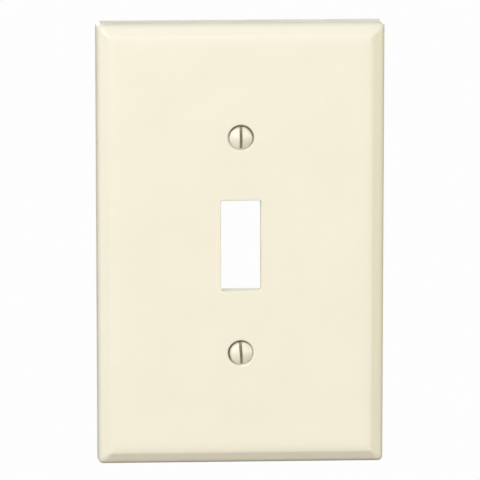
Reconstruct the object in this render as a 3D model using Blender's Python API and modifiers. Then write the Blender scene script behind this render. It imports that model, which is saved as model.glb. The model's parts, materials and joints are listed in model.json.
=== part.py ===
"""Single-gang toggle wall plate, midway size, with its two oval-head screws and the
washers that keep those screws captive.

Metres, +Z up. The origin is the centre of the toggle opening, on the wall plane.
+X is to the right as you face the plate, the front faces -Y, the wall is at +Y.
"""

import math

import bmesh
import bpy
from mathutils import Matrix

MM = 0.001
INCH = 25.4 * MM

# ---------------------------------------------------------------- plate
PLATE_W = 3.125 * INCH
PLATE_H = 4.875 * INCH
PLATE_D = 6.6 * MM             # wall plane to front face
CORNER_R = 1.4 * MM            # plan radius of the outer corners, at the rim
FACE_CORNER_R = 0.2 * MM       # and where the mitred border meets the face
PANEL_T = 2.4 * MM             # thickness of the front panel
CORNER_POINTS = 5

# Section of the border in mm, as (inset from the rim's outline, height off the wall plane):
# drafted side wall, small outer radius, straight bevel, soft blend into the face.
OUTER_SECTION = (
    (0.00, 0.00), (0.30, 3.80), (0.37, 4.12), (0.58, 4.36),
    (3.30, 6.22), (3.70, 6.44), (4.15, 6.56), (4.65, 6.60),
)
# Section of the hollow back, in the same columns: rim, drafted inner wall, then a fillet
# into the panel.
INNER_SECTION = ((2.10, 0.00), (2.34, 3.10), (2.62, 3.70), (3.15, 4.08), (3.90, 4.20))
INNER_CORNER_R = 1.2 * MM

FACE_Y = -PLATE_D
PANEL_BACK_Y = FACE_Y + PANEL_T
BITE = 0.6 * MM                # how far each raised feature runs into the panel
PAST = 1.0 * MM                # how far most cutters run past what they cut

# ---------------------------------------------------------------- toggle opening
OPENING_W = 11.0 * MM          # clears a toggle's 10.3 mm wide lever frame
OPENING_H = 25.4 * MM          # clears its 23.8 mm height
OPENING_CORNER_R = 0.35 * MM
OPENING_CORNER_GROWTH = 0.6    # gain in corner radius for each unit the outline grows
OPENING_TAPER = 0.06 * MM      # how far each side closes in towards the cutter's back end
LIP_R = 0.45 * MM              # rounding of the opening's front edge
LIP_ARC = math.radians(86)
LIP_STEPS = 4
LIP_MOUTH = 1.6                # outset of the cutter's front end, in lip radii
LIP_MOUTH_PAST = 0.5 * MM      # how far that end stands in front of the face

COLLAR_EDGE = 1.5 * MM         # width of the raised collar behind the opening
COLLAR_H = 1.60 * MM
COLLAR_CORNER_R = 1.1 * MM
COLLAR_BURIED_OUT = 0.12 * MM  # outset from the nominal outline, at the end in the panel
COLLAR_FOOT_OUT = 0.08 * MM    # at the panel's back
COLLAR_SHOULDER_OUT = -0.05 * MM
COLLAR_TOP_OUT = -0.20 * MM
RAISED_EDGE = 0.12 * MM        # depth of the softened edge on the collar and the bosses

# ---------------------------------------------------------------- screw holes and bosses
SCREW_SPACING = 2.375 * INCH
SCREW_Z = SCREW_SPACING / 2
HOLE_D = 4.0 * MM
SINK_D = 7.60 * MM
SINK_HALF_ANGLE = math.radians(82 / 2)
BOSS_D = 9.2 * MM
BOSS_H = 0.75 * MM
BOSS_TOP_INSET = 0.25 * MM     # change in the boss's radius at its flat top
BOSS_SHOULDER_INSET = 0.10 * MM
BOSS_FOOT_OUT = 0.08 * MM      # at the panel's back
BOSS_BURIED_OUT = 0.12 * MM    # at the end in the panel
RIB_T = 1.1 * MM               # rib that ties each boss to the collar
RIB_H = 0.55 * MM
RIB_OVERLAP = 0.7 * MM         # how far its ends run into the boss and the collar
RIB_BITE = 0.8 * BITE          # shallower than the bite of what it joins

# ---------------------------------------------------------------- ejector-pin marks
EJECTOR_D = 5.0 * MM           # marks of the mould's ejector pins, behind the panel
EJECTOR_DEPTH = 0.15 * MM
EJECTOR_X = 26.0 * MM
EJECTOR_Z = 48.0 * MM

# ---------------------------------------------------------------- 6-32 x 1/2 in oval-head screw
HEAD_D = 6.36 * MM
HEAD_SUNK = 0.20 * MM          # head's edge below the face when seated
HEAD_EDGE = 0.10 * MM          # straight land at the head's edge
CROWN_H = 1.18 * MM
CROWN_STEPS = 7
SLOT_W = 0.80 * MM
SLOT_DEPTH = 1.45 * MM         # from the top of the crown
LOWER_SLOT_LEAN = math.radians(-3.5)   # the lower screw's slot leans to the left at its top
SCREW_L = 0.5 * INCH           # from the head's edge to the tip
TIP_CHAMFER = 0.55 * MM
THREAD_MAJOR_D = 3.505 * MM
THREAD_MINOR_D = 2.64 * MM
THREAD_PITCH = INCH / 32
THREAD_CREST = 0.12            # share of the pitch
THREAD_FLANK = 0.30            # share of the pitch, for each flank
THREAD_LEAD = 1.7              # pitches the uncut thread starts before the cone's end
THREAD_SPARE_TURNS = 3         # turns added so that it runs past both ends
NECK_FLARE = 0.28 * MM         # cone's small end, beyond the thread's root radius
NECK_INSET = 0.10 * MM         # neck's end, inside the root radius
NECK_L = 0.35 * MM             # reach of the neck into the shank
ENVELOPE_CLEAR = 0.30 * MM     # envelope's radius beyond the thread's crest
ENVELOPE_OVERLAP = 0.25 * MM   # how far the trimmed thread runs into the head

# ---------------------------------------------------------------- retaining washer
WASHER_D = 7.0 * MM
WASHER_T = 0.80 * MM
WASHER_BORE_D = 3.68 * MM
WASHER_EDGE = 0.12 * MM        # chamfer of all four edges
WASHER_FRONT = -1.20 * MM      # its front face, from the wall plane, with the screw home

# ---------------------------------------------------------------- facets and shading
ROUND_STEPS = 40
EJECTOR_STEPS = 24
ENVELOPE_STEPS = 28
THREAD_STEPS = 18              # facets in a turn
MERGE_DISTANCE = 1e-6
PLATE_SMOOTH = math.radians(24)    # edges sharper than this stay sharp
ROUND_SMOOTH = math.radians(30)


# ---------------------------------------------------------------- scene
def clear_scene():
    for obj in list(bpy.data.objects):
        bpy.data.objects.remove(obj, do_unlink=True)
    for old in list(bpy.data.collections):
        bpy.data.collections.remove(old)


def add_collection(name, helper=False):
    made = bpy.data.collections.new(name)
    bpy.context.scene.collection.children.link(made)
    made.hide_render = helper
    return made


clear_scene()
PIECES = add_collection("toggle_wall_plate")
CUTTERS = add_collection("cutters", helper=True)
RAISED = add_collection("raised_features", helper=True)
HOLES = add_collection("hole_cutters", helper=True)


# ---------------------------------------------------------------- objects and modifiers
def add_object(name, mesh, where, home=(0, 0, 0), turned_to_y=False, spin=0.0):
    """Adds the object. turned_to_y lays its local +Z along the world's +Y, into the wall,
    and spin then turns it about that axis."""
    obj = bpy.data.objects.new(name, mesh)
    obj.location = home
    if turned_to_y:
        obj.rotation_euler = (-math.pi / 2, spin, 0)
    where.objects.link(obj)
    if where is not PIECES:
        obj.hide_render = True
        obj.display_type = "WIRE"
    return obj


def add_boolean(obj, other, operation):
    """Joins or cuts with one object, or with every object of a collection at once."""
    boolean = obj.modifiers.new(operation.title(), "BOOLEAN")
    boolean.operation = operation
    boolean.solver = "EXACT"
    if isinstance(other, bpy.types.Collection):
        boolean.operand_type = "COLLECTION"
        boolean.collection = other
    else:
        boolean.object = other


def settle(obj, smooth_angle):
    """Applies the modifiers and shades the result smooth up to an angle."""
    bpy.context.view_layer.update()
    graph = bpy.context.evaluated_depsgraph_get()
    mesh = bpy.data.meshes.new_from_object(obj.evaluated_get(graph))
    mesh.name = obj.name
    obj.modifiers.clear()
    obj.data = mesh
    mesh.shade_smooth()
    mesh.set_sharp_from_angle(angle=smooth_angle)


# ---------------------------------------------------------------- shapes
def finish_mesh(name, bm):
    mesh = bpy.data.meshes.new(name)
    bm.to_mesh(mesh)
    bm.free()
    return mesh


def rounded_rectangle(half_w, half_h, radius):
    """Points (x, z) of a rectangle with rounded corners, anticlockwise from the right,
    as seen from the front."""
    points = []
    for corner, (sign_x, sign_z) in enumerate(((1, 1), (-1, 1), (-1, -1), (1, -1))):
        centre_x, centre_z = sign_x * (half_w - radius), sign_z * (half_h - radius)
        for step in range(CORNER_POINTS):
            turn = math.pi / 2 * (corner + step / (CORNER_POINTS - 1))
            points.append((
                centre_x + radius * math.cos(turn),
                centre_z + radius * math.sin(turn),
            ))
    return points


def loft(name, rings):
    """A closed mesh through outlines that differ from one depth to the next, with flat caps.
    Each ring is (points, y)."""
    bm = bmesh.new()
    loops = [[bm.verts.new((x, y, z)) for x, z in points] for points, y in rings]
    count = len(loops[0])
    for one, two in zip(loops, loops[1:]):
        for i in range(count):
            j = (i + 1) % count
            bm.faces.new((one[i], one[j], two[j], two[i]))
    bm.faces.new(loops[0])
    bm.faces.new(loops[-1])
    bmesh.ops.recalc_face_normals(bm, faces=bm.faces)
    return finish_mesh(name, bm)


def box(name, size, centre):
    bm = bmesh.new()
    bmesh.ops.create_cube(bm, size=1.0)
    placed = Matrix.Translation(centre) @ Matrix.Diagonal((*size, 1))
    bmesh.ops.transform(bm, matrix=placed, verts=bm.verts)
    return finish_mesh(name, bm)


def add_turned(name, profile, where, home=(0, 0, 0), steps=ROUND_STEPS, ring=False, spin=0.0):
    """A turned piece on the Y axis. The profile is (radius, depth) points, from the deep
    end towards the front along the outer side; ring closes it on itself round a bore."""
    bm = bmesh.new()
    verts = [bm.verts.new((radius, 0, depth)) for radius, depth in profile]
    for one, two in zip(verts, verts[1:]):
        bm.edges.new((one, two))
    if ring:
        bm.edges.new((verts[-1], verts[0]))
    obj = add_object(name, finish_mesh(name, bm), where, home, turned_to_y=True, spin=spin)
    turn = obj.modifiers.new("Turn", "SCREW")
    turn.axis = "Z"
    turn.steps = turn.render_steps = steps
    turn.use_merge_vertices = True
    turn.merge_threshold = MERGE_DISTANCE
    return obj


# ---------------------------------------------------------------- materials
def material(name, colour, roughness, metallic=0.0):
    made = bpy.data.materials.new(name)
    made.use_nodes = True
    shader = made.node_tree.nodes["Principled BSDF"]
    shader.inputs["Base Color"].default_value = (*colour, 1.0)
    shader.inputs["Roughness"].default_value = roughness
    shader.inputs["Metallic"].default_value = metallic
    made.diffuse_color = (*colour, 1.0)
    return made


def ivory_plastic():
    return material("ivory_plastic", colour=(0.855, 0.800, 0.655), roughness=0.32)


def ivory_enamel(label):
    return material(
        f"ivory_enamel_{label}", colour=(0.84, 0.78, 0.63), roughness=0.36, metallic=0.1
    )


def nylon(label):
    return material(f"nylon_{label}", colour=(0.78, 0.76, 0.70), roughness=0.5)


# ---------------------------------------------------------------- plate
def border_outline(inset, radius):
    return rounded_rectangle(PLATE_W / 2 - inset, PLATE_H / 2 - inset, radius)


def opening_outline(outset, radius):
    return rounded_rectangle(OPENING_W / 2 + outset, OPENING_H / 2 + outset, radius)


def plate_shell():
    """One closed shell: face, mitred border, side wall, rim, inner wall, back of the panel.
    The corner radius shrinks from rim to face, so the border is a loft and not an offset."""
    widest = OUTER_SECTION[-1][0] * MM
    outer = []
    for inset, height in OUTER_SECTION:
        share = inset * MM / widest
        radius = CORNER_R + (FACE_CORNER_R - CORNER_R) * share
        outer.append((border_outline(inset * MM, radius), -height * MM))
    inner = [
        (border_outline(inset * MM, INNER_CORNER_R), -height * MM)
        for inset, height in INNER_SECTION
    ]
    return loft("wallplate", outer[::-1] + inner)


def add_collar():
    """The raised frame behind the toggle opening."""
    top_y = PANEL_BACK_Y + COLLAR_H
    rings = [
        (opening_outline(COLLAR_EDGE + outset, COLLAR_CORNER_R), y)
        for outset, y in (
            (COLLAR_BURIED_OUT, PANEL_BACK_Y - BITE),
            (COLLAR_FOOT_OUT, PANEL_BACK_Y),
            (COLLAR_SHOULDER_OUT, top_y - RAISED_EDGE),
            (COLLAR_TOP_OUT, top_y),
        )
    ]
    add_object("opening_collar", loft("opening_collar", rings), RAISED)


def add_opening():
    """Cutter of the toggle opening, which rounds its front edge all the way round."""
    def ring(outset, y):
        radius = OPENING_CORNER_R + OPENING_CORNER_GROWTH * max(outset, 0)
        return opening_outline(outset, radius), y

    rings = [ring(LIP_R * LIP_MOUTH, FACE_Y - LIP_MOUTH_PAST)]
    for step in range(LIP_STEPS + 1):
        turn = LIP_ARC * (1 - step / LIP_STEPS)
        rings.append(ring(LIP_R * (1 - math.cos(turn)), FACE_Y + LIP_R * (1 - math.sin(turn))))
    rings.append(ring(-OPENING_TAPER, PANEL_BACK_Y + COLLAR_H + PAST))
    add_object("toggle_opening", loft("toggle_opening", rings), HOLES)


def add_boss(label, z):
    """The round pad behind a screw hole, with a drafted side and a softened edge."""
    boss_r = BOSS_D / 2
    top_y = PANEL_BACK_Y + BOSS_H
    profile = (
        (0, top_y),
        (boss_r - BOSS_TOP_INSET, top_y),
        (boss_r - BOSS_SHOULDER_INSET, top_y - RAISED_EDGE),
        (boss_r + BOSS_FOOT_OUT, PANEL_BACK_Y),
        (boss_r + BOSS_BURIED_OUT, PANEL_BACK_Y - BITE),
        (0, PANEL_BACK_Y - BITE),
    )
    add_turned(f"boss_{label}", profile, RAISED, (0, 0, z))


def add_rib(label, side):
    """The low rib from a boss to the collar; side is 1 above the opening, -1 below."""
    near = OPENING_H / 2 + COLLAR_EDGE - RIB_OVERLAP
    far = SCREW_Z - BOSS_D / 2 + RIB_OVERLAP
    front, back = PANEL_BACK_Y - RIB_BITE, PANEL_BACK_Y + RIB_H
    size = (RIB_T, back - front, far - near)
    centre = (0, (back + front) / 2, side * (near + far) / 2)
    name = f"rib_{label}"
    add_object(name, box(name, size, centre), RAISED)


def add_screw_hole(label, z):
    """Clearance hole and countersink in one turned cutter."""
    sink_depth = (SINK_D - HOLE_D) / 2 / math.tan(SINK_HALF_ANGLE)
    back_y = PANEL_BACK_Y + BOSS_H + PAST
    profile = (
        (0, back_y),
        (HOLE_D / 2, back_y),
        (HOLE_D / 2, FACE_Y + sink_depth),
        (SINK_D / 2 + PAST * math.tan(SINK_HALF_ANGLE), FACE_Y - PAST),
        (0, FACE_Y - PAST),
    )
    add_turned(f"screw_hole_{label}", profile, HOLES, (0, 0, z))


def add_ejector_marks():
    """Cutters of the shallow round marks, numbered left to right in rows from the top."""
    profile = (
        (0, PANEL_BACK_Y + PAST),
        (EJECTOR_D / 2, PANEL_BACK_Y + PAST),
        (EJECTOR_D / 2, PANEL_BACK_Y - EJECTOR_DEPTH),
        (0, PANEL_BACK_Y - EJECTOR_DEPTH),
    )
    places = [(x, 0, z) for z in (EJECTOR_Z, 0, -EJECTOR_Z) for x in (-EJECTOR_X, EJECTOR_X)]
    for number, place in enumerate(places, start=1):
        add_turned(f"ejector_mark_{number}", profile, HOLES, place, steps=EJECTOR_STEPS)


def build_plate():
    plate = add_object("wallplate", plate_shell(), PIECES)
    add_collar()
    add_opening()
    for label, side in (("upper", 1), ("lower", -1)):
        add_boss(label, side * SCREW_Z)
        add_rib(label, side)
        add_screw_hole(label, side * SCREW_Z)
    add_ejector_marks()
    add_boolean(plate, RAISED, "UNION")
    add_boolean(plate, HOLES, "DIFFERENCE")
    settle(plate, PLATE_SMOOTH)
    plate.data.materials.append(ivory_plastic())


# ---------------------------------------------------------------- screws
# Depths count from the plane of the head's edge towards the tip.
HEAD_R = HEAD_D / 2
ROOT_R = THREAD_MINOR_D / 2
CREST_R = THREAD_MAJOR_D / 2
CONE_END = HEAD_EDGE + (HEAD_R - ROOT_R - NECK_FLARE) / math.tan(SINK_HALF_ANGLE)


def head_profile():
    """Neck that ends inside the shank, cone, edge and domed crown."""
    dome_r = (HEAD_R ** 2 + CROWN_H ** 2) / (2 * CROWN_H)
    half_arc = math.asin(HEAD_R / dome_r)
    profile = [
        (0, CONE_END + NECK_L),
        (ROOT_R - NECK_INSET, CONE_END + NECK_L),
        (ROOT_R + NECK_FLARE, CONE_END),
        (HEAD_R, HEAD_EDGE),
    ]
    for step in range(CROWN_STEPS + 1):
        turn = half_arc * (1 - step / CROWN_STEPS)
        profile.append((dome_r * math.sin(turn), -CROWN_H + dome_r * (1 - math.cos(turn))))
    return profile


def add_thread(name, home, spin):
    """A right-hand thread that runs past both ends of the shank, as one closed mesh. One
    pitch of its section is screwed along the axis, and the turns are welded at the root."""
    # (radius, share of the pitch)
    section = (
        (ROOT_R, 1.0),
        (ROOT_R, 2 * THREAD_FLANK + THREAD_CREST),
        (CREST_R, THREAD_FLANK + THREAD_CREST),
        (CREST_R, THREAD_FLANK),
        (ROOT_R, 0.0),
    )
    first = CONE_END - THREAD_LEAD * THREAD_PITCH
    profile = [(radius, first + share * THREAD_PITCH) for radius, share in section]
    rod = add_turned(name, profile, CUTTERS, home, steps=THREAD_STEPS, spin=spin)
    turn = rod.modifiers["Turn"]
    turn.iterations = math.ceil((SCREW_L - CONE_END) / THREAD_PITCH) + THREAD_SPARE_TURNS
    turn.screw_offset = THREAD_PITCH
    turn.use_merge_vertices = False
    weld = rod.modifiers.new("Weld", "WELD")
    weld.merge_threshold = MERGE_DISTANCE
    settle(rod, ROUND_SMOOTH)

    # Cap the two open ends.
    bm = bmesh.new()
    bm.from_mesh(rod.data)
    bmesh.ops.holes_fill(bm, edges=[edge for edge in bm.edges if edge.is_boundary], sides=0)
    bmesh.ops.recalc_face_normals(bm, faces=bm.faces)
    bm.to_mesh(rod.data)
    bm.free()
    return rod


def add_envelope(name, home, spin):
    """The solid that trims the thread to length and chamfers its tip at 45 degrees."""
    envelope_r = CREST_R + ENVELOPE_CLEAR
    profile = (
        (0, SCREW_L),
        (CREST_R - TIP_CHAMFER, SCREW_L),
        (envelope_r, SCREW_L - TIP_CHAMFER - ENVELOPE_CLEAR),
        (envelope_r, CONE_END - ENVELOPE_OVERLAP),
        (0, CONE_END - ENVELOPE_OVERLAP),
    )
    return add_turned(name, profile, CUTTERS, home, steps=ENVELOPE_STEPS, spin=spin)


def add_slot(name, home, spin):
    """Cutter of the slot across the head."""
    size = (SLOT_W, HEAD_D + 2 * PAST, SLOT_DEPTH + PAST)
    mesh = box(name, size, (0, 0, -CROWN_H + SLOT_DEPTH - size[2] / 2))
    return add_object(name, mesh, CUTTERS, home, turned_to_y=True, spin=spin)


def build_screw(label, z, spin):
    """The screw's origin is on its axis, in the plane of the head's edge. spin is how far
    its slot stands from upright."""
    name = f"{label}_screw"
    home = (0, FACE_Y + HEAD_SUNK, z)
    screw = add_turned(name, head_profile(), PIECES, home, spin=spin)
    thread = add_thread(f"{name}_thread", home, spin)
    add_boolean(thread, add_envelope(f"{name}_envelope", home, spin), "INTERSECT")
    add_boolean(screw, thread, "UNION")
    add_boolean(screw, add_slot(f"{name}_slot", home, spin), "DIFFERENCE")
    settle(screw, ROUND_SMOOTH)
    screw.data.materials.append(ivory_enamel(label))


# ---------------------------------------------------------------- washers
def build_washer(label, z):
    """The washer's origin is on its axis, in the plane of its front face."""
    outer_r, bore_r = WASHER_D / 2, WASHER_BORE_D / 2
    edge, back = WASHER_EDGE, WASHER_T
    profile = (
        (outer_r, back - edge), (outer_r, edge), (outer_r - edge, 0), (bore_r + edge, 0),
        (bore_r, edge), (bore_r, back - edge), (bore_r + edge, back), (outer_r - edge, back),
    )
    home = (0, WASHER_FRONT, z)
    washer = add_turned(f"{label}_screw_retainer", profile, PIECES, home, ring=True)
    settle(washer, ROUND_SMOOTH)
    washer.data.materials.append(nylon(label))


build_plate()
for label, z, spin in (("upper", SCREW_Z, 0.0), ("lower", -SCREW_Z, LOWER_SLOT_LEAN)):
    build_screw(label, z, spin)
    build_washer(label, z)
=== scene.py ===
"""Looks for the toggle wall plate: fine meshes and materials for the plate, its two
oval-head screws and their retaining washers, with a pale floor, soft light and a camera.

Lengths are metres, and sizes named here are millimetres unless noted. The front of the
plate faces -Y, the wall is at +Y, +X is right seen from the front and +Z is up.
"""

import json
import math

import bmesh
import bpy
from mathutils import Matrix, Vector, geometry


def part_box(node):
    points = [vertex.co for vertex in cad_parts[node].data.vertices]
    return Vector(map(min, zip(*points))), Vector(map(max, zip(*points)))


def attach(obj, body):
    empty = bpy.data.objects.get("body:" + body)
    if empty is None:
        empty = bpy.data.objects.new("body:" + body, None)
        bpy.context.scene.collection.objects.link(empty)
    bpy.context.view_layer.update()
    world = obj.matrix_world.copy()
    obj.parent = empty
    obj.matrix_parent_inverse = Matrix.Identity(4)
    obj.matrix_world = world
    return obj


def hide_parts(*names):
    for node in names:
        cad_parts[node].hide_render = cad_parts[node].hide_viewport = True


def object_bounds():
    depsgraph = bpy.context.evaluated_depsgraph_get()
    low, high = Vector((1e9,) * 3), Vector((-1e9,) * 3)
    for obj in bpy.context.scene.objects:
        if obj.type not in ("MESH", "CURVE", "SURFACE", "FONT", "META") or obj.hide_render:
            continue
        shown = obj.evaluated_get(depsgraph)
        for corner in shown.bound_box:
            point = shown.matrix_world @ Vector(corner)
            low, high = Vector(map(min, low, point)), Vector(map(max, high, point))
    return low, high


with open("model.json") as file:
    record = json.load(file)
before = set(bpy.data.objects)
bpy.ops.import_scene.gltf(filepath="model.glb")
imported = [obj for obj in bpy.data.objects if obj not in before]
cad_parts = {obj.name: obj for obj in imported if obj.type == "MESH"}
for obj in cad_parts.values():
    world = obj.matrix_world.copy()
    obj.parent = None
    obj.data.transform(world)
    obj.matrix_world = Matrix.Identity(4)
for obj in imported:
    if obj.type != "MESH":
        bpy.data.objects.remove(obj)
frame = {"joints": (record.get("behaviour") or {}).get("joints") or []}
cad_lo, cad_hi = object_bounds()

MM = 0.001
QUARTER = math.pi / 2
PIECES = bpy.data.collections.new("wall_plate_visual")
bpy.context.scene.collection.children.link(PIECES)

# ------------------------------------------------------------------ sizes
# From the frame, in metres.
plate_lo, plate_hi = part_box("wallplate")
PLATE_W, PLATE_H = plate_hi.x - plate_lo.x, plate_hi.z - plate_lo.z
FACE_Y, WALL_Y = plate_lo.y, plate_hi.y
joints = {joint["name"]: joint for joint in frame["joints"]}
SCREW_AT = {
    label: Vector(joints[f"{label}_screw_turn"]["pos_m"]) for label in ("upper", "lower")
}
SCREW_UP = SCREW_AT["upper"].z / MM      # height of the upper screw above the middle, mm

# Section of the border: (inset from the rim's outline, height off the wall plane).
RIM_FOOT = (0.14, 0.0)
WALL_FOOT, WALL_START, WALL_TOP = (0.0, 0.0), (0.012, 0.15), (0.27, 3.50)
BEVEL_FOOT, BEVEL_TOP = (1.60, 5.15), (3.30, 6.15)
FACE_EDGE = (6.60, 6.60)
CORNER_R, FACE_CORNER_R = 1.4, 0.2
CORNER_FADE = 4.65                       # inset at which the face's corner radius is reached
INNER_FOOT, INNER_TOP, PANEL_EDGE = (2.10, 0.0), (2.34, 3.10), (3.90, 4.20)
INNER_CORNER_R = 1.2

# Depths of the back, in metres along Y.
PANEL_BACK_Y = FACE_Y + 2.4 * MM
BOSS_Y = PANEL_BACK_Y + 0.75 * MM        # top of the bosses
COLLAR_Y = PANEL_BACK_Y + 1.60 * MM      # top of the collar round the opening

OPENING_W, OPENING_H, OPENING_CORNER_R = 11.0, 25.4, 0.35
LIP_R = 0.28                             # rounding of the opening's front edge
COLLAR_EDGE, COLLAR_CORNER_R = 1.5, 1.0
HOLE_R, SINK_R = 2.0, 3.80
SINK_ANGLE = math.radians(41.0)
SINK_SOFT = 0.09                         # rounding of the countersink's rim
BOSS_R = 4.6
RIB_W, RIB_H = 1.1, 0.55
EJECTOR_R, EJECTOR_DEPTH = 2.5, 0.15
EJECTOR_AT = [(x, z) for z in (48.0, 0.0, -48.0) for x in (-26.0, 26.0)]
FLAT_SPACING = 2.2                       # between mesh points on the flats

HEAD_R, HEAD_EDGE, CROWN_H = 3.18, 0.10, 1.18
CROWN_SOFT = 0.10                        # rounding of the crown's outer edge
CROWN_BALL_R = (HEAD_R ** 2 + CROWN_H ** 2) / (2 * CROWN_H)
SLOT_HALF, SLOT_DEPTH = 0.80 / 2, 1.45
SLOT_LIP_R, SLOT_FOOT_R = 0.07, 0.10     # roundings at the top and bottom of its walls
SLOT_TAPER = 0.045                       # how far each wall leans in
SLOT_FLOOR = -CROWN_H + SLOT_DEPTH
SLOT_LEAN = {"upper": 0.0, "lower": math.radians(-3.5)}
PAINT_DEPTH = HEAD_EDGE + 1.35           # the shank is bare below this
SCREW_L = 12.7
MAJOR_R, MINOR_R, PITCH = 3.505 / 2, 2.64 / 2, 25.4 / 32
TIP_CHAMFER = 0.55

WASHER_R, WASHER_BORE_R, WASHER_T = 3.5, 1.84, 0.80
WASHER_SOFT = 0.14                       # rounding of its edges

# Angle above which an edge is shaded sharp, in degrees.
PLATE_SHARP, RIB_SHARP, SCREW_SHARP, WASHER_SHARP = 38, 30, 42, 40


# ------------------------------------------------------------------ mesh helpers
def add_ring(bm, points):
    return [bm.verts.new(p) for p in points]


def add_face(bm, corners):
    """A face from corners that may repeat, left out if fewer than three remain."""
    kept = list(dict.fromkeys(corners))
    if len(kept) > 2:
        bm.faces.new(kept)


def bridge(bm, one, two):
    """Faces between two closed rings of the same count."""
    for i in range(len(one)):
        j = (i + 1) % len(one)
        add_face(bm, (one[i], one[j], two[j], two[i]))


def bridge_all(bm, rings):
    for one, two in zip(rings, rings[1:]):
        bridge(bm, one, two)


def bezier(start, pull, end, steps):
    """Points of a quadratic curve pulled towards a corner, without its two ends."""
    points = []
    for i in range(1, steps):
        t = i / steps
        points.append(tuple((1 - t) ** 2 * p + 2 * t * (1 - t) * q + t * t * r
                            for p, q, r in zip(start, pull, end)))
    return points


def line(start, end, steps):
    """Evenly spaced points of a straight line, without its two ends."""
    return [tuple(p + (q - p) * i / steps for p, q in zip(start, end)) for i in range(1, steps)]


def meet(start1, end1, start2, end2):
    """Where the line through the first two points crosses the line through the others."""
    (x1, y1), (x2, y2), (x3, y3), (x4, y4) = start1, end1, start2, end2
    scale = (x1 - x2) * (y3 - y4) - (y1 - y2) * (x3 - x4)
    cross1, cross2 = x1 * y2 - y1 * x2, x3 * y4 - y3 * x4
    return ((cross1 * (x3 - x4) - (x1 - x2) * cross2) / scale,
            (cross1 * (y3 - y4) - (y1 - y2) * cross2) / scale)


def rectangle_ring(half_w, half_h, radius, y, arc, across, along):
    """A rounded rectangle in mm, anticlockwise from its right side, as metres. Its straight
    sides carry evenly spaced points, so that rings of any size bridge to each other."""
    corners = []
    for corner, (side_x, side_z) in enumerate(((1, 1), (-1, 1), (-1, -1), (1, -1))):
        mid_x, mid_z = side_x * (half_w - radius), side_z * (half_h - radius)
        corners.append([
            (mid_x + radius * math.cos(turn), mid_z + radius * math.sin(turn))
            for turn in (QUARTER * (corner + s / arc) for s in range(arc + 1))
        ])
    points = []
    for i, arc_points in enumerate(corners):
        following = corners[(i + 1) % 4][0]
        points += arc_points
        points += line(arc_points[-1], following, across if i % 2 == 0 else along)
    return [(x * MM, y, z * MM) for x, z in points]


def circle_ring(radius, y, steps, mid_x=0.0, mid_z=0.0):
    """A circle in mm round an axis along Y, as metres."""
    return [
        ((mid_x + radius * math.cos(2 * math.pi * s / steps)) * MM, y,
         (mid_z + radius * math.sin(2 * math.pi * s / steps)) * MM)
        for s in range(steps)
    ]


def inside(x, z, polygon):
    hit = False
    for (x1, z1), (x2, z2) in zip(polygon, polygon[1:] + polygon[:1]):
        if (z1 > z) != (z2 > z) and x < x1 + (x2 - x1) * (z - z1) / (z2 - z1):
            hit = not hit
    return hit


def on_flat(x, z, outlines):
    """Whether a point is inside the first outline and outside all the others."""
    return inside(x, z, outlines[0]) and not any(inside(x, z, hole) for hole in outlines[1:])


def scatter(outlines, step):
    """Points of a triangular grid on a flat, kept clear of the outlines' own points."""
    cells = {}
    for outline in outlines:
        for x, z in outline:
            cells.setdefault((int(x // step), int(z // step)), []).append((x, z))
    xs = [x for x, _ in outlines[0]]
    zs = [z for _, z in outlines[0]]
    rows = int((max(zs) - min(zs)) / (step * 0.866))
    columns = int((max(xs) - min(xs)) / step)
    points = []
    for row in range(1, rows):
        for column in range(columns + 1):
            x = min(xs) + (column + 0.5 * (row % 2)) * step
            z = min(zs) + row * step * 0.866
            if not on_flat(x, z, outlines):
                continue
            i, k = int(x // step), int(z // step)
            crowded = any(
                (x - near_x) ** 2 + (z - near_z) ** 2 < (0.55 * step) ** 2
                for di in (-1, 0, 1) for dk in (-1, 0, 1)
                for near_x, near_z in cells.get((i + di, k + dk), ())
            )
            if not crowded:
                points.append((x, z))
    return points


def fill_flat(bm, outer, holes, y):
    """Even triangles over the plane between an outer ring of vertices and hole rings."""
    loops = [outer] + holes
    known = [v for loop in loops for v in loop]
    outlines = [[(v.co.x, v.co.z) for v in loop] for loop in loops]
    edges, first = [], 0
    for loop in loops:
        edges += [(first + i, first + (i + 1) % len(loop)) for i in range(len(loop))]
        first += len(loop)
    coords = [Vector(point) for outline in outlines for point in outline]
    coords += [Vector(point) for point in scatter(outlines, FLAT_SPACING * MM)]
    places, _, faces, sources, _, _ = geometry.delaunay_2d_cdt(coords, edges, [], 0, 1e-9)
    made = []
    for place, source in zip(places, sources):
        origin = min(source, default=-1)
        is_known = 0 <= origin < len(known)
        made.append(known[origin] if is_known else bm.verts.new((place.x, y, place.y)))
    for face in faces:
        x = sum(places[i].x for i in face) / len(face)
        z = sum(places[i].y for i in face) / len(face)
        if on_flat(x, z, outlines):
            corners = [made[i] for i in face]
            if len(set(corners)) == len(corners):
                bm.faces.new(corners)


def shade(mesh, sharp_deg):
    mesh.shade_smooth()
    mesh.set_sharp_from_angle(angle=math.radians(sharp_deg))


def to_object(name, bm, sharp_deg):
    bmesh.ops.recalc_face_normals(bm, faces=bm.faces)
    mesh = bpy.data.meshes.new(name)
    bm.to_mesh(mesh)
    bm.free()
    shade(mesh, sharp_deg)
    obj = bpy.data.objects.new(name, mesh)
    PIECES.objects.link(obj)
    return obj


def apply_modifiers(obj, sharp_deg):
    bpy.context.view_layer.update()
    graph = bpy.context.evaluated_depsgraph_get()
    mesh = bpy.data.meshes.new_from_object(obj.evaluated_get(graph))
    obj.modifiers.clear()
    obj.data = mesh
    mesh.name = obj.name
    shade(mesh, sharp_deg)


def weighted_normals(obj):
    mod = obj.modifiers.new("Flat faces stay flat", "WEIGHTED_NORMAL")
    mod.mode = "FACE_AREA"
    mod.weight = 60
    mod.keep_sharp = True


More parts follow.
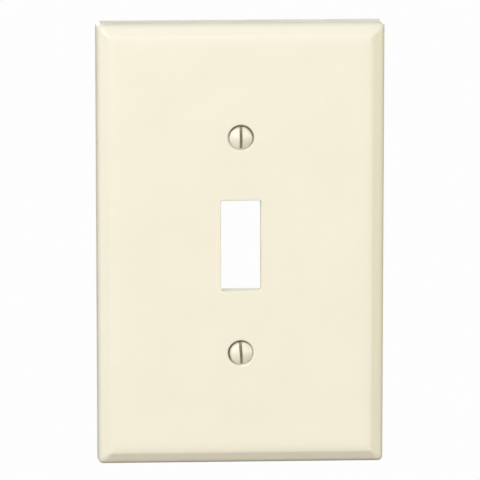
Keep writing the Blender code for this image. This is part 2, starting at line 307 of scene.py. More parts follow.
# ------------------------------------------------------------------ plate
def border(bm, inset, height, radius):
    return add_ring(bm, rectangle_ring(
        PLATE_W / MM / 2 - inset, PLATE_H / MM / 2 - inset, radius,
        WALL_Y - height * MM, arc=14, across=34, along=56,
    ))


def build_outer_border(bm):
    """The border from the rim's wall side, round the outside, to the flat of the face."""
    low_corner = meet(WALL_FOOT, WALL_TOP, BEVEL_FOOT, BEVEL_TOP)
    high_corner = meet(BEVEL_FOOT, BEVEL_TOP, (0, FACE_EDGE[1]), (1, FACE_EDGE[1]))
    section = [(1.4, 0.0), (0.7, 0.0), RIM_FOOT]
    section += bezier(RIM_FOOT, WALL_FOOT, WALL_START, 4) + [WALL_START]
    section += line(WALL_START, WALL_TOP, 6) + [WALL_TOP]
    section += bezier(WALL_TOP, low_corner, BEVEL_FOOT, 10) + [BEVEL_FOOT]
    section += line(BEVEL_FOOT, BEVEL_TOP, 5) + [BEVEL_TOP]
    section += bezier(BEVEL_TOP, high_corner, FACE_EDGE, 24) + [FACE_EDGE]
    section += [(FACE_EDGE[0] + 0.35, FACE_EDGE[1])]
    rings = []
    for inset, height in section:
        share = min(1.0, inset / CORNER_FADE)
        if height == 0.0:
            radius = CORNER_R - 0.3 * share
        else:
            radius = CORNER_R + (FACE_CORNER_R - CORNER_R) * share
        rings.append(border(bm, inset, height, radius))
    bridge_all(bm, rings)
    return rings


def build_inner_border(bm, rim):
    """The rim's inner wall, from the rim's first ring to the flat of the panel's back."""
    corner = meet(INNER_FOOT, INNER_TOP, (0, PANEL_EDGE[1]), (1, PANEL_EDGE[1]))
    foot = INNER_FOOT[0]
    section = [(foot - 0.12, 0.0), (foot - 0.03, 0.03), (foot + 0.005, 0.12)]
    section += line(section[-1], INNER_TOP, 5) + [INNER_TOP]
    section += bezier(INNER_TOP, corner, PANEL_EDGE, 10) + [PANEL_EDGE]
    section += [(PANEL_EDGE[0] + 0.4, PANEL_EDGE[1])]
    rings = [border(bm, inset, height, INNER_CORNER_R) for inset, height in section]
    bridge_all(bm, [rim] + rings)
    return rings[-1]


# The mouth of the opening's wall at the back: (outwards from the opening, below the collar's
# top).
MOUTH = ((-0.05, 0.12), (-0.02, 0.035), (0.07, 0.0), (0.3, 0.0))
# The collar's outer wall: (outwards from the collar's edge, below the collar's top).
COLLAR_WALL = (
    (-0.22, 0.0), (-0.12, 0.03), (-0.065, 0.10), (-0.045, 0.19), (-0.025, 0.55), (0.0, 0.95),
    (0.02, 1.37), (0.06, 1.51), (0.14, 1.58), (0.26, 1.60), (0.6, 1.60),
)


def build_opening(bm):
    """The opening's lip and walls, then the collar behind it. Returns its end rings."""
    rings = []

    def ring(out, y, radius):
        rings.append(add_ring(bm, rectangle_ring(
            OPENING_W / 2 + out, OPENING_H / 2 + out, radius, y, arc=10, across=8, along=18,
        )))

    ring(LIP_R + 0.30, FACE_Y, 0.75)
    for step in range(13):
        turn = QUARTER * (1 - step / 12)
        out = LIP_R * (1 - math.cos(turn))
        ring(out, FACE_Y + LIP_R * MM * (1 - math.sin(turn)), OPENING_CORNER_R + 0.6 * out)
    for share in (0.2, 0.4, 0.6, 0.8):
        y = FACE_Y + LIP_R * MM + (COLLAR_Y - FACE_Y - LIP_R * MM) * share
        ring(-0.06 * share, y, OPENING_CORNER_R)
    for out, below in MOUTH:
        ring(out, COLLAR_Y - below * MM, OPENING_CORNER_R + max(out, 0))
    ring(COLLAR_EDGE - 0.45, COLLAR_Y, 0.75)
    for out, below in COLLAR_WALL:
        ring(COLLAR_EDGE + out, COLLAR_Y - below * MM, COLLAR_CORNER_R + max(out, 0))
    bridge_all(bm, rings)
    return rings[0], rings[-1]


# A boss's outer wall: (outwards from the boss's radius, below the boss's top).
BOSS_WALL = (
    (-0.25, 0.0), (-0.15, 0.03), (-0.09, 0.10), (-0.06, 0.19), (0.04, 0.52), (0.08, 0.66),
    (0.16, 0.73), (0.28, 0.75), (0.6, 0.75),
)


def build_screw_hole(bm, mid_z):
    """Countersink, clearance hole and the boss behind them. Returns its end rings."""
    sink_depth = (SINK_R - HOLE_R) / math.tan(SINK_ANGLE)
    rim = (SINK_R + 0.10, FACE_Y)
    cone_start = (SINK_R - SINK_SOFT, FACE_Y + SINK_SOFT / math.tan(SINK_ANGLE) * MM)
    cone_end = (HOLE_R + 0.05, FACE_Y + (sink_depth - 0.06) * MM)
    hole_start = (HOLE_R, FACE_Y + (sink_depth + 0.05) * MM)
    hole_end = (HOLE_R, BOSS_Y - 0.12 * MM)
    section = [(SINK_R + 0.40, FACE_Y), rim]
    section += bezier(rim, (SINK_R, FACE_Y), cone_start, 5) + [cone_start]
    section += line(cone_start, cone_end, 5) + [cone_end, hole_start]
    section += line(hole_start, hole_end, 3)
    section += [hole_end, (HOLE_R + 0.03, BOSS_Y - 0.03 * MM), (HOLE_R + 0.12, BOSS_Y),
                (HOLE_R + 0.4, BOSS_Y), (BOSS_R - 0.5, BOSS_Y)]
    section += [(BOSS_R + out, BOSS_Y - below * MM) for out, below in BOSS_WALL]
    rings = [add_ring(bm, circle_ring(r, y, 96, 0.0, mid_z)) for r, y in section]
    bridge_all(bm, rings)
    return rings[0], rings[-1]


def build_ejector_mark(bm, mid_x, mid_z):
    """A shallow round recess in the panel's back. Returns its outermost ring."""
    # (radius, offset towards the wall from the panel's back)
    section = [(EJECTOR_R + 0.35, 0.0), (EJECTOR_R + 0.05, 0.0), (EJECTOR_R, -0.02),
               (EJECTOR_R - 0.01, -EJECTOR_DEPTH + 0.03), (EJECTOR_R - 0.06, -EJECTOR_DEPTH),
               (EJECTOR_R - 0.5, -EJECTOR_DEPTH), (1.2, -EJECTOR_DEPTH), (0.4, -EJECTOR_DEPTH)]
    rings = [
        add_ring(bm, circle_ring(r, PANEL_BACK_Y + y * MM, 48, mid_x, mid_z))
        for r, y in section
    ]
    bridge_all(bm, rings)
    bm.faces.new(rings[-1])
    return rings[0]


def build_rib(name, side):
    """The low rib from a boss to the collar, with a rounded top, as a closed solid."""
    near = OPENING_H / 2 + COLLAR_EDGE - 0.55
    far = SCREW_UP - BOSS_R + 0.55
    half = RIB_W / 2
    # (x, offset towards the wall from the panel's back), sunk into the panel at its foot
    section = [(-half - 0.16, -0.4), (-half - 0.16, -0.02), (-half - 0.04, 0.05), (-half, 0.16),
               (-half + 0.03, RIB_H - 0.14), (-half + 0.07, RIB_H - 0.05), (-half + 0.16, RIB_H)]
    section += [(-x, y) for x, y in reversed(section)]
    bm = bmesh.new()
    rings = [
        add_ring(bm, [(x * MM, PANEL_BACK_Y + y * MM, side * z * MM) for x, y in section])
        for z in [near + (far - near) * i / 12 for i in range(13)]
    ]
    bridge_all(bm, rings)
    bm.faces.new(rings[0])
    bm.faces.new(rings[-1])
    return to_object(name, bm, RIB_SHARP)


def build_plate():
    bm = bmesh.new()
    outer = build_outer_border(bm)
    panel_edge = build_inner_border(bm, outer[0])
    features = [build_opening(bm)]
    features += [build_screw_hole(bm, z) for z in (SCREW_UP, -SCREW_UP)]
    fronts = [front for front, _ in features]
    backs = [back for _, back in features]
    backs += [build_ejector_mark(bm, x, z) for x, z in EJECTOR_AT]
    fill_flat(bm, outer[-1], fronts, FACE_Y)
    fill_flat(bm, panel_edge, backs, PANEL_BACK_Y)
    plate = to_object("wall_plate_shell", bm, PLATE_SHARP)

    ribs = [build_rib("rib_upper", 1), build_rib("rib_lower", -1)]
    for rib in ribs:
        mod = plate.modifiers.new("Rib", "BOOLEAN")
        mod.operation, mod.solver, mod.object = "UNION", "EXACT", rib
    apply_modifiers(plate, PLATE_SHARP)
    for rib in ribs:
        bpy.data.objects.remove(rib)
    weighted_normals(plate)
    return plate


# ------------------------------------------------------------------ screws
# Depth along a screw counts from the head's edge towards the tip, so the crown is at
# negative depth. A screw's place() turns (x, z, depth) in mm into a point in metres.
def crown_depth(radius):
    return -CROWN_H + CROWN_BALL_R - math.sqrt(max(CROWN_BALL_R ** 2 - radius ** 2, 0.0))


def head_profile():
    """The head's surface of revolution as (radius, depth), from the crown's rounded edge
    down the cone to the neck."""
    crown_edge = (HEAD_R - CROWN_SOFT, crown_depth(HEAD_R - CROWN_SOFT))
    side = (HEAD_R, HEAD_EDGE * 0.6)
    cone_start = (HEAD_R - 0.05, HEAD_EDGE + 0.0575)
    cone_depth = HEAD_EDGE + (HEAD_R - MINOR_R - 0.10) / math.tan(SINK_ANGLE)
    cone_end = (MINOR_R + 0.22, cone_depth - 0.12 / math.tan(SINK_ANGLE))
    neck = (MINOR_R, cone_depth + 0.16)
    profile = [crown_edge]
    profile += bezier(crown_edge, (HEAD_R, -0.005), side, 5) + [side]
    profile += bezier(side, (HEAD_R, HEAD_EDGE), cone_start, 4) + [cone_start]
    profile += line(cone_start, cone_end, 14) + [cone_end]
    profile += bezier(cone_end, (MINOR_R, cone_depth), neck, 5) + [neck]
    return profile


def head_radius(profile, depth):
    """Radius of the head's outer surface at a depth."""
    if depth <= profile[0][1]:
        return math.sqrt(max(
            CROWN_BALL_R ** 2 - (CROWN_BALL_R - CROWN_H - depth) ** 2, 0.0))
    for (r1, d1), (r2, d2) in zip(profile, profile[1:]):
        if depth <= d2:
            return r1 + (r2 - r1) * (depth - d1) / max(d2 - d1, 1e-9)


def head_columns(edge_r):
    """Columns across the slot from +X to -X, as (x, zone, amount). The amount is a lip's
    drop, the share of the way down a wall, or the rise of a foot."""
    right = []
    for i in range(27):
        turn = QUARTER * (1 - i / 26)
        x = SLOT_HALF + SLOT_LIP_R + (edge_r - SLOT_HALF - SLOT_LIP_R) * math.sin(turn)
        right.append((x, "crown", 0.0))
    for i in range(1, 5):
        turn = QUARTER * i / 4
        right.append((SLOT_HALF + SLOT_LIP_R * (1 - math.sin(turn)), "lip",
                      SLOT_LIP_R * (1 - math.cos(turn))))
    right += [(SLOT_HALF - SLOT_TAPER * share, "wall", share) for share in (0.2, 0.4, 0.6, 0.8)]
    for i in range(5):
        turn = QUARTER * i / 4
        right.append((SLOT_HALF - SLOT_TAPER - SLOT_FOOT_R * (1 - math.cos(turn)), "foot",
                      SLOT_FOOT_R * (1 - math.sin(turn))))
    right.append((SLOT_HALF * 0.45, "floor", 0.0))
    left = [(-x, zone, amount) for x, zone, amount in reversed(right)]
    return right + [(0.0, "floor", 0.0)] + left


def head_depth(x, z, zone, amount):
    """Depth of the crown or the slot at a point of a column."""
    on_crown = crown_depth(math.hypot(x, z))
    if zone == "crown":
        return on_crown
    if zone == "lip":
        return min(on_crown + amount, SLOT_FLOOR)
    if zone == "wall":
        wall_end = SLOT_FLOOR - SLOT_FOOT_R
        wall_start = min(on_crown + SLOT_LIP_R, wall_end)
        return wall_start + (wall_end - wall_start) * amount
    return SLOT_FLOOR - amount


def slot_shade(x, zone, amount):
    """How much painted shade, with some grime, a column carries, from 0 on the crown to 1 on the
    slot's floor.
    """
    if zone == "crown":
        dark = 0.0
    elif zone == "lip":
        dark = 0.25 if amount > 0.6 * SLOT_LIP_R else 0.0
    elif zone == "wall":
        dark = 0.35 + 0.65 * amount
    else:
        dark = 1.0
    # the +X wall of the slot, which faces the light, gets less painted shade
    return dark * 0.8 if x > 0.1 * SLOT_HALF else dark


def build_head(bm, place):
    """The crown and its slot as one grid of columns across the slot, and the rest of the head
    hung from that grid's edge. Returns the open ring at the neck and its depth."""
    profile = head_profile()
    edge_r, edge_depth = profile[0]
    columns = head_columns(edge_r)
    rows = 40
    grid = []
    for x, zone, amount in columns:
        # how far out the column runs: to where it leaves the head's outer surface
        reach = math.sqrt(max(edge_r ** 2 - x * x, 0.0))
        for _ in range(24):
            depth = max(head_depth(x, reach, zone, amount), edge_depth)
            reach = math.sqrt(max(head_radius(profile, depth) ** 2 - x * x, 0.0))
        zs = [math.sin(QUARTER * (2 * row / rows - 1)) * reach for row in range(rows + 1)]
        grid.append([(x, z, head_depth(x, z, zone, amount)) for z in zs])

    layer = bm.verts.layers.float.new("slot_shade")
    made = []
    for points, column in zip(grid, columns):
        if abs(points[0][1] - points[-1][1]) < 1e-7:     # the column has no length
            verts = [bm.verts.new(place(*points[0]))] * len(points)
        else:
            verts = [bm.verts.new(place(*p)) for p in points]
        for vert in verts:
            vert[layer] = slot_shade(*column)
        made.append(verts)
    for one, two in zip(made, made[1:]):
        for i in range(rows):
            add_face(bm, (one[i], one[i + 1], two[i + 1], two[i]))

    # The grid's edge, once round: along the far ends of the columns, back along the near ends.
    edge = [(points[-1], verts[-1]) for points, verts in zip(grid, made)]
    edge += [(points[0], verts[0]) for points, verts in zip(reversed(grid), reversed(made))]
    loop, seen = [], set()
    for point, vert in edge:
        if vert not in seen:
            seen.add(vert)
            loop.append((point, vert))
    previous = [vert for _, vert in loop]
    for radius, depth in profile[1:]:
        current = []
        for (point, _), above in zip(loop, previous):
            if depth <= point[2] + 1e-6:
                current.append(above)
            else:
                turn = math.atan2(point[1], point[0])
                current.append(bm.verts.new(place(
                    radius * math.cos(turn), radius * math.sin(turn), depth)))
        bridge(bm, previous, current)
        previous = current
    return previous, profile[-1][1]


# One pitch of the thread: (share of the pitch, share of the thread's height).
THREAD_SHAPE = (
    (0.0, 0.0), (0.06, 0.0), (0.11, 0.05), (0.36, 0.94), (0.41, 1.0), (0.51, 1.0),
    (0.56, 0.94), (0.81, 0.05), (0.86, 0.0), (1.0, 0.0),
)
THREAD_ROWS = sorted({phase for phase, _ in THREAD_SHAPE[:-1]} | {0.19, 0.27, 0.645, 0.73, 0.93})
THREAD_AROUND = 72


def thread_height(phase):
    phase %= 1.0
    for (p1, h1), (p2, h2) in zip(THREAD_SHAPE, THREAD_SHAPE[1:]):
        if phase <= p2:
            return h1 + (h2 - h1) * (phase - p1) / (p2 - p1)


def thread_radius(depth, share, start):
    """Radius at a depth and a share of a turn: faded in below the start, chamfered at the tip."""
    grow = min(max((depth - start) / (0.9 * PITCH), 0.0), 1.0)
    grow *= grow * (3 - 2 * grow)
    radius = MINOR_R + (MAJOR_R - MINOR_R) * thread_height(depth / PITCH - share) * grow
    return min(radius, MAJOR_R - max(0.0, depth - (SCREW_L - TIP_CHAMFER)))


def build_thread(bm, place, start):
    """A right-hand thread on a grid whose rows follow the helix, so that crest and root stay
    crisp. Returns its first ring."""
    known = {}

    def point(radius, step, depth):
        turn = -2 * math.pi * (step / THREAD_AROUND)
        return bm.verts.new(place(radius * math.cos(turn), radius * math.sin(turn), depth))

    def vert(depth, step):
        depth = min(max(depth, start), SCREW_L)
        key = (round(depth, 7), step)
        if key not in known:
            radius = thread_radius(depth, step / THREAD_AROUND, start)
            known[key] = point(radius, step, depth)
        return known[key]

    steps = range(THREAD_AROUND)
    turns = range(math.floor(start / PITCH) - 2, math.ceil(SCREW_L / PITCH) + 2)
    rows = [turn + phase for turn in turns for phase in THREAD_ROWS]
    grid = [[vert((row + s / THREAD_AROUND) * PITCH, s) for s in steps] for row in rows]
    # a row's last point meets the first point of the row one turn further on
    whole = len(rows) - len(THREAD_ROWS)
    for k in range(whole):
        grid[k].append(grid[k + len(THREAD_ROWS)][0])
    for one, two in zip(grid, grid[1:whole]):
        for i in steps:
            add_face(bm, (one[i], one[i + 1], two[i + 1], two[i]))
    tip = [vert(SCREW_L, s) for s in steps]
    inner = [point(0.55 * MINOR_R, s, SCREW_L) for s in steps]
    bridge(bm, tip, inner)
    bm.faces.new(inner)
    return [vert(start, s) for s in steps]


def by_angle(ring):
    """A ring's angles round the Y axis and its vertices, both sorted and closed."""
    marked = sorted((math.atan2(v.co.z, v.co.x) % (2 * math.pi), i) for i, v in enumerate(ring))
    turns = [turn for turn, _ in marked]
    verts = [ring[i] for _, i in marked]
    return turns + [turns[0] + 2 * math.pi], verts + [verts[0]]


def zip_rings(bm, one, two):
    """Triangles between two rings round the Y axis whose points stand at different angles."""
    turns1, verts1 = by_angle(one)
    turns2, verts2 = by_angle(two)
    i = j = 0
    while i < len(one) or j < len(two):
        if j >= len(two) or (i < len(one) and turns1[i + 1] <= turns2[j + 1]):
            add_face(bm, (verts1[i], verts1[i + 1], verts2[j]))
            i += 1
        else:
            add_face(bm, (verts1[i], verts2[j + 1], verts2[j]))
            j += 1


def build_screw(label):
    cos, sin = math.cos(SLOT_LEAN[label]), math.sin(SLOT_LEAN[label])

    def place(x, z, depth):
        return ((x * cos + z * sin) * MM, depth * MM, (z * cos - x * sin) * MM)

    bm = bmesh.new()
    neck, neck_depth = build_head(bm, place)
    thread_start = build_thread(bm, place, neck_depth + 0.12)
    zip_rings(bm, neck, thread_start)
    screw = to_object(f"{label}_screw_oval_head", bm, SCREW_SHARP)
    screw.location = SCREW_AT[label]
    return screw


# ------------------------------------------------------------------ washers
def build_washer(label):
    """A flat ring with rounded edges, its front on the front of the retainer's box."""
    lo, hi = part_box(f"{label}_screw_retainer")
    section = []
    # each corner as (radius, y, way in along the radius, way in along Y)
    for r, y, in_r, in_y in (
        (WASHER_BORE_R, 0.0, 1, 1), (WASHER_R, 0.0, -1, 1),
        (WASHER_R, WASHER_T, -1, -1), (WASHER_BORE_R, WASHER_T, 1, -1),
    ):
        corner = [(r + in_r * WASHER_SOFT * (1 - math.sin(turn)),
                   y + in_y * WASHER_SOFT * (1 - math.cos(turn)))
                  for turn in (QUARTER * i / 5 for i in range(6))]
        section += corner[::-1] if in_r == in_y else corner
    bm = bmesh.new()
    rings = [add_ring(bm, circle_ring(r, y * MM, 96)) for r, y in section]
    bridge_all(bm, rings + [rings[0]])
    washer = to_object(f"{label}_retaining_washer", bm, WASHER_SHARP)
    centre = (lo + hi) / 2
    washer.location = (centre.x, lo.y, centre.z)
    weighted_normals(washer)
    return washer


# ------------------------------------------------------------------ materials
# Sockets of a colour Mix node.
MIX_SHARE, MIX_ONE, MIX_TWO, MIX_RESULT = 0, 6, 7, 2

# Dark brown for painted shade, with some grime, in gaps, crevices, the slot and the opening's
# ledge.
GRIME_AND_SHADE_COLOUR = (0.125, 0.102, 0.056)
# The side of each screw's gap and head that gets the most painted shade, with some grime: (x, z).
PAINTED_SHADE_SIDE = {"upper": (0.30, 0.95), "lower": (-0.80, 0.60)}
ORIGIN = Vector((0, 0, 0))


class Nodes:
    """A short hand for wiring one material's nodes."""

    def __init__(self, name):
        self.material = bpy.data.materials.new(name)
        self.material.use_nodes = True
        self.tree = self.material.node_tree
        self.shader = self.tree.nodes["Principled BSDF"]
        self.where = self.tree.nodes.new("ShaderNodeTexCoord").outputs["Object"]

    def feed(self, value, socket):
        """Links an output to a socket, or sets the socket to a number or a colour."""
        if isinstance(value, bpy.types.NodeSocket):
            self.tree.links.new(value, socket)
        elif isinstance(value, tuple):
            socket.default_value = (*value, 1.0)
        else:
            socket.default_value = value

    def noise(self, scale, detail=3.0, roughness=0.5):
        node = self.tree.nodes.new("ShaderNodeTexNoise")
        node.inputs["Scale"].default_value = scale
        node.inputs["Detail"].default_value = detail
        node.inputs["Roughness"].default_value = roughness
        self.feed(self.where, node.inputs["Vector"])
        return node.outputs["Fac"]

    def spread(self, value, low, high, to_low=0.0, to_high=1.0):
        """Eases from one value to another as the input goes from low to high."""
        node = self.tree.nodes.new("ShaderNodeMapRange")
        node.interpolation_type = "SMOOTHSTEP"
        for name, number in (("From Min", low), ("From Max", high),
                             ("To Min", to_low), ("To Max", to_high)):
            node.inputs[name].default_value = number
        self.feed(value, node.inputs["Value"])
        return node.outputs["Result"]

    def patches(self, low=0.3, high=0.7, to_low=0.0, to_high=1.0, **noise):
        """Noise with its middle range spread between two values."""
        return self.spread(self.noise(**noise), low, high, to_low, to_high)

    def math(self, operation, *values):
        node = self.tree.nodes.new("ShaderNodeMath")
        node.operation = operation
        for value, socket in zip(values, node.inputs):
            self.feed(value, socket)
        return node.outputs[0]

    def times(self, product, *factors):
        for factor in factors:
            product = self.math("MULTIPLY", product, factor)
        return product

    def mix(self, share, one, two):
        node = self.tree.nodes.new("ShaderNodeMix")
        node.data_type = "RGBA"
        for value, socket in ((share, MIX_SHARE), (one, MIX_ONE), (two, MIX_TWO)):
            self.feed(value, node.inputs[socket])
        return node.outputs[MIX_RESULT]

    def bump(self, height, distance, strength, under=None):
        node = self.tree.nodes.new("ShaderNodeBump")
        node.inputs["Distance"].default_value = distance
        node.inputs["Strength"].default_value = strength
        self.feed(height, node.inputs["Height"])
        if under is not None:
            self.feed(under, node.inputs["Normal"])
        return node.outputs["Normal"]

    def along(self, x=0.0, y=0.0, z=0.0):
        """Distance along a direction from the object's origin."""
        node = self.tree.nodes.new("ShaderNodeVectorMath")
        node.operation = "DOT_PRODUCT"
        node.inputs[1].default_value = (x, y, z)
        self.feed(self.where, node.inputs[0])
        return node.outputs["Value"]

    def painted_shade_side(self, label, at, least):
        """One on the side of a screw where shade is painted darkest, falling to a least share."""
        open_x, open_z = PAINTED_SHADE_SIDE[label]
        past_axis = self.math("SUBTRACT", self.along(x=open_x, z=open_z),
                              open_x * at.x + open_z * at.z)
        return self.spread(past_axis, low=-2.6 * MM, high=2.2 * MM, to_low=least)

    def from_axis(self, at):
        """Distance from a screw's axis."""
        node = self.tree.nodes.new("ShaderNodeVectorMath")
        node.operation = "MULTIPLY_ADD"
        node.inputs[1].default_value = (1.0, 0.0, 1.0)
        node.inputs[2].default_value = (-at.x, 0.0, -at.z)
        self.feed(self.where, node.inputs[0])
        length = self.tree.nodes.new("ShaderNodeVectorMath")
        length.operation = "LENGTH"
        self.feed(node.outputs["Vector"], length.inputs[0])
        return length.outputs["Value"]

    def attribute(self, name):
        node = self.tree.nodes.new("ShaderNodeAttribute")
        node.attribute_name = name
        return node.outputs["Fac"]

    def crevice(self, distance):
        """Open sky within a distance: low in corners and gaps."""
        node = self.tree.nodes.new("ShaderNodeAmbientOcclusion")
        node.samples = 4
        node.inputs["Distance"].default_value = distance
        return node.outputs["AO"]

    def finish(self, colour, roughness, normal, **values):
        """Wires the shader. Other inputs are given by name, with _ for a space."""
        self.feed(colour, self.shader.inputs["Base Color"])
        self.feed(roughness, self.shader.inputs["Roughness"])
        self.feed(normal, self.shader.inputs["Normal"])
        for name, value in values.items():
            self.shader.inputs[name.replace("_", " ")].default_value = value
        return self.material


def gap_shade_and_grime(n):
    """Share of painted shade, with some grime, in the gaps round the screws, most on each screw's
    shaded side.
    """
    upper, lower = (n.painted_shade_side(label, SCREW_AT[label], least=0.10) for label in PAINTED_SHADE_SIDE)
    is_upper = n.math("GREATER_THAN", n.along(z=1.0), 0.0)
    side = n.math("ADD", n.times(upper, is_upper),
                  n.times(lower, n.math("SUBTRACT", 1.0, is_upper)))
    # the painted shade and grime climb nearly to the countersink's rim
    axis = n.math("MINIMUM", n.from_axis(SCREW_AT["upper"]), n.from_axis(SCREW_AT["lower"]))
    in_rim = n.spread(axis, low=(SINK_R - 0.42) * MM, high=(SINK_R - 0.04) * MM,
                      to_low=0.85, to_high=0.0)
    in_sink = n.times(in_rim, n.math("LESS_THAN", n.along(y=1.0), FACE_Y + 2.1 * MM))
    # painted shade where ambient occlusion finds a crevice
    in_gap = n.spread(n.crevice(0.9 * MM), low=0.20, high=0.80, to_low=1.0, to_high=0.0)
    near = n.math("MAXIMUM", in_gap, in_sink)
    uneven = n.patches(scale=900, roughness=0.6, low=0.25, high=0.6, to_low=0.70)
    return n.times(near, side, uneven)


def ledge_painted_shade(n):
    """Share of painted shade on the opening's lower wall, growing towards the back."""
    depth = n.spread(n.along(y=1.0), low=FACE_Y + 0.4 * MM, high=FACE_Y + 1.6 * MM)
    from_sill = n.math("ABSOLUTE", n.math("ADD", n.along(z=1.0), OPENING_H / 2 * MM))
    low = n.math("LESS_THAN", from_sill, 0.5 * MM)
    from_middle = n.math("ABSOLUTE", n.along(x=1.0))
    low = n.times(low, n.math("LESS_THAN", from_middle, (OPENING_W / 2 + 0.2) * MM))
    return n.times(depth, low, n.patches(scale=420, roughness=0.6, to_low=0.04, to_high=0.12))


def ivory_plastic():
    """Moulded ivory plastic: satin, faintly mottled, with a fine orange peel, painted shade with
    some grime in the gaps round the screws, and painted shade low in the opening."""
    n = Nodes("ivory_plastic_moulded")
    cloud = n.patches(scale=55, detail=4.0, roughness=0.55)
    colour = n.mix(cloud, (0.840, 0.824, 0.698), (0.858, 0.840, 0.716))
    grain = n.patches(scale=1400, detail=2.0, low=0.35, high=0.65)
    grain_share = 0.18
    colour = n.mix(n.times(grain, grain_share), colour, (0.832, 0.808, 0.676))
    # painted shade, with some grime, in the gaps round the screws
    dust_and_shade = gap_shade_and_grime(n)
    # painted shade on the opening's lower wall
    colour = n.mix(ledge_painted_shade(n), colour, GRIME_AND_SHADE_COLOUR)
    colour = n.mix(dust_and_shade, colour, GRIME_AND_SHADE_COLOUR)
    rough = n.patches(scale=240, detail=4.0, roughness=0.6, to_low=0.36, to_high=0.45)
    dust_roughness = 0.35
    rough = n.math("ADD", rough, n.times(dust_and_shade, dust_roughness))
    peel = n.bump(n.noise(scale=900, detail=2.0, roughness=0.4),
                  distance=0.004 * MM, strength=0.55)
    fine = n.bump(n.noise(scale=5200, detail=2.0), distance=0.0012 * MM, strength=0.5, under=peel)
    return n.finish(colour, rough, fine, IOR=1.48)


def ivory_enamel(label):
    """Ivory enamel on the screw's head, slightly uneven. A driver has rubbed it thin along the
    slot's edges. The slot's floor and -X wall, the crevices and the head's rim on one side
    carry painted shade with some grime."""
    n = Nodes(f"{label}_ivory_enamel")
    colour = n.mix(n.patches(scale=700), (0.80, 0.775, 0.64), (0.86, 0.84, 0.71))
    # painted shade, with some grime, in the crevices, then a band of painted shade along the
    # head's rim on its shaded side
    in_gap = n.spread(n.crevice(0.5 * MM), low=0.15, high=0.75, to_low=0.85, to_high=0.0)
    dust_and_shade = n.times(in_gap, n.painted_shade_side(label, ORIGIN, least=0.10))
    colour = n.mix(dust_and_shade, colour, GRIME_AND_SHADE_COLOUR)
    rim = n.spread(n.from_axis(ORIGIN), low=(HEAD_R - 0.50) * MM, high=(HEAD_R - 0.10) * MM)
    falloff, rim_share = 4.0, 0.50
    rim_shade_side = n.math("POWER", n.painted_shade_side(label, ORIGIN, least=0.0), falloff)
    colour = n.mix(n.times(rim, rim_shade_side, rim_share), colour, GRIME_AND_SHADE_COLOUR)
    # rubbed edges of the slot
    slot = n.attribute("slot_shade")
    rub = n.times(n.spread(slot, low=0.02, high=0.25), n.spread(slot, low=0.6, high=0.3),
                  n.patches(scale=2600, roughness=0.6, low=0.45, high=0.6))
    rub_share = 0.5
    colour = n.mix(n.times(rub, rub_share), colour, (0.50, 0.48, 0.42))
    # painted shade, with some grime, on the slot's floor and -X wall
    uneven = n.patches(scale=1500, roughness=0.6, low=0.25, high=0.65, to_low=0.80)
    floor = n.times(n.spread(slot, low=0.2, high=0.8, to_high=0.56), uneven)
    colour = n.mix(floor, colour, GRIME_AND_SHADE_COLOUR)
    rough = n.patches(scale=900, roughness=0.6, to_low=0.28, to_high=0.40)
    grime_roughness = 0.35
    rough = n.math("ADD", rough, n.times(floor, grime_roughness))
    normal = n.bump(n.noise(scale=1500, detail=2.0), distance=0.010 * MM, strength=0.6)
    return n.finish(colour, rough, normal, Coat_Weight=0.12)


def zinc_plate(label):
    """Bright zinc over steel, with a faint yellow and blue tint and a fine grain."""
    n = Nodes(f"{label}_zinc_plate")
    tint = n.patches(scale=420, roughness=0.6)
    colour = n.mix(tint, (0.66, 0.67, 0.70), (0.74, 0.72, 0.66))
    # painted shade in the thread's crevices, from ambient occlusion
    dust_and_shade = n.spread(n.crevice(0.35 * MM), low=0.2, high=0.8, to_low=0.55, to_high=0.0)
    colour = n.mix(dust_and_shade, colour, (0.20, 0.19, 0.17))
    rough = n.patches(scale=1100, detail=4.0, roughness=0.6, to_low=0.24, to_high=0.42)
    normal = n.bump(n.noise(scale=3000, roughness=0.6), distance=0.006 * MM, strength=0.5)
    return n.finish(colour, rough, normal, Metallic=1.0)


def nylon(label):
    """Natural nylon: milky, a little see-through, with a dull moulded skin."""
    n = Nodes(f"{label}_natural_nylon")
    colour = n.mix(n.patches(scale=500), (0.74, 0.73, 0.68), (0.80, 0.79, 0.75))
    rough = n.patches(scale=900, roughness=0.6, to_low=0.42, to_high=0.56)
    normal = n.bump(n.noise(scale=1800, detail=2.0), distance=0.006 * MM, strength=0.5)
    return n.finish(colour, rough, normal, Subsurface_Weight=0.25,
                    Subsurface_Radius=(1.0, 0.95, 0.85), Subsurface_Scale=0.5 * MM)


# ------------------------------------------------------------------ the object
plate = build_plate()
plate.data.materials.clear()             # the union may leave empty slots
plate.data.materials.append(ivory_plastic())
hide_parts("wallplate")
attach(plate, "plate")

for label in ("upper", "lower"):
    screw = build_screw(label)
    screw.data.materials.append(ivory_enamel(label))
    screw.data.materials.append(zinc_plate(label))
    for face in screw.data.polygons:
        face.material_index = 1 if face.center.y > PAINT_DEPTH * MM else 0
    weighted_normals(screw)
    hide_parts(f"{label}_screw")
    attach(screw, f"{label}_fastener")

    washer = build_washer(label)
    washer.data.materials.append(nylon(label))
    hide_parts(f"{label}_screw_retainer")
    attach(washer, f"{label}_carrier")


# ------------------------------------------------------------------ floor, light, camera
STAGE_WHITE = (0.985, 0.985, 0.988)
FLOOR_GLOW, ROOM_GLOW = (0.06, 0.05, 0.04), (0.05, 0.05, 0.05)   # as light sources
FLOOR_HALF, FLOOR_DROP = 12.0, 0.45      # metres
LIGHT_DISTANCE = 3.0                     # metres

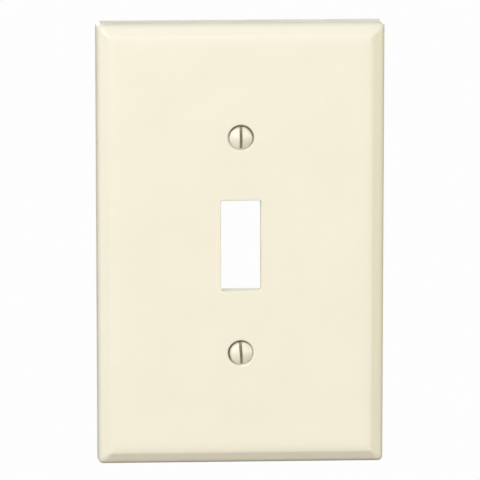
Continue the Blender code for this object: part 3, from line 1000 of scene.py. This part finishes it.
# A light tent of soft boxes: (name, degrees round from the front towards +X, degrees up,
# size in metres, watts, colour).
SOFTBOXES = (
    ("box_front_left", -30, 20, 2.0, 44.5, (0.935, 0.94, 1)),
    ("box_front_right", 30, 20, 2.0, 32.8, (0.965, 0.985, 1)),
    ("box_front_low", 0, -18, 2.0, 38.0, (1, 0.65, 0.38)),
    ("box_above", -12, 45, 2.2, 9.5, (0.96, 0.95, 1)),
    ("box_left", -55, 10, 2.2, 38.5, (1, 0.985, 0.85)),
    ("box_far_right", 74, -8, 2.2, 47.0, (1, 0.96, 0.6)),
    ("box_behind_left", -155, 25, 1.8, 62.0, (1, 0.99, 0.975)),
    ("box_behind_right", 155, 15, 1.8, 46.0, (1, 0.985, 0.96)),
)

CAMERA_AT = (-0.0695, -1.4688, 0.2966)   # metres
CAMERA_PITCH, CAMERA_YAW = math.radians(-11.39), math.radians(-2.71)
CAMERA_LENS, SENSOR_WIDTH = 407.625, 36.0
CLIP_START, CLIP_END = 0.01, 60.0        # metres


def seen_white(tree, default_shader, shader_type, output, glow):
    """White where the camera sees it, dimmer as a light source, so that a pale floor and
    sky don't wash out the underside of the object."""
    tree.nodes.remove(tree.nodes[default_shader])
    path = tree.nodes.new("ShaderNodeLightPath")
    shader = tree.nodes.new(shader_type)
    mix = tree.nodes.new("ShaderNodeMix")
    mix.data_type = "RGBA"
    mix.inputs[MIX_ONE].default_value = (*glow, 1.0)
    mix.inputs[MIX_TWO].default_value = (*STAGE_WHITE, 1.0)
    tree.links.new(path.outputs["Is Camera Ray"], mix.inputs[MIX_SHARE])
    tree.links.new(mix.outputs[MIX_RESULT], shader.inputs["Color"])
    tree.links.new(shader.outputs[0], tree.nodes[output].inputs["Surface"])


def build_floor():
    bm = bmesh.new()
    bmesh.ops.create_grid(bm, x_segments=8, y_segments=8, size=FLOOR_HALF)
    mesh = bpy.data.meshes.new("pale_floor")
    bm.to_mesh(mesh)
    bm.free()
    floor = bpy.data.objects.new("pale_floor", mesh)
    floor.location = (0, 0, cad_lo.z - FLOOR_DROP)
    bpy.context.scene.collection.objects.link(floor)
    material = bpy.data.materials.new("pale_floor")
    material.use_nodes = True
    seen_white(material.node_tree, "Principled BSDF", "ShaderNodeEmission",
               "Material Output", FLOOR_GLOW)
    mesh.materials.append(material)


def build_world():
    world = bpy.data.worlds.new("pale_room")
    world.use_nodes = True
    seen_white(world.node_tree, "Background", "ShaderNodeBackground", "World Output", ROOM_GLOW)
    bpy.context.scene.world = world


def build_softbox(name, side_deg, up_deg, size, power, colour):
    """A square light aimed at the object's origin."""
    side, up = math.radians(side_deg), math.radians(up_deg)
    at = Vector((math.sin(side) * math.cos(up), -math.cos(side) * math.cos(up),
                 math.sin(up))) * LIGHT_DISTANCE
    data = bpy.data.lights.new(name, "AREA")
    data.shape = "RECTANGLE"
    data.size = data.size_y = size
    data.energy = power
    data.color = colour
    light = bpy.data.objects.new(name, data)
    bpy.context.scene.collection.objects.link(light)
    light.location = at
    light.rotation_mode = "QUATERNION"
    light.rotation_quaternion = (-at).to_track_quat("-Z", "Y")
    light.visible_camera = False


def build_camera():
    data = bpy.data.cameras.new("camera")
    data.sensor_width = SENSOR_WIDTH
    data.lens = CAMERA_LENS
    data.clip_start, data.clip_end = CLIP_START, CLIP_END
    camera = bpy.data.objects.new("camera", data)
    bpy.context.scene.collection.objects.link(camera)
    camera.location = CAMERA_AT
    forward = Vector((-math.sin(CAMERA_YAW) * math.cos(CAMERA_PITCH),
                      math.cos(CAMERA_YAW) * math.cos(CAMERA_PITCH), math.sin(CAMERA_PITCH)))
    camera.rotation_mode = "QUATERNION"
    camera.rotation_quaternion = forward.to_track_quat("-Z", "Y")
    bpy.context.scene.camera = camera


build_floor()
build_world()
for softbox in SOFTBOXES:
    build_softbox(*softbox)
build_camera()
bpy.context.scene.view_settings.view_transform = "Standard"
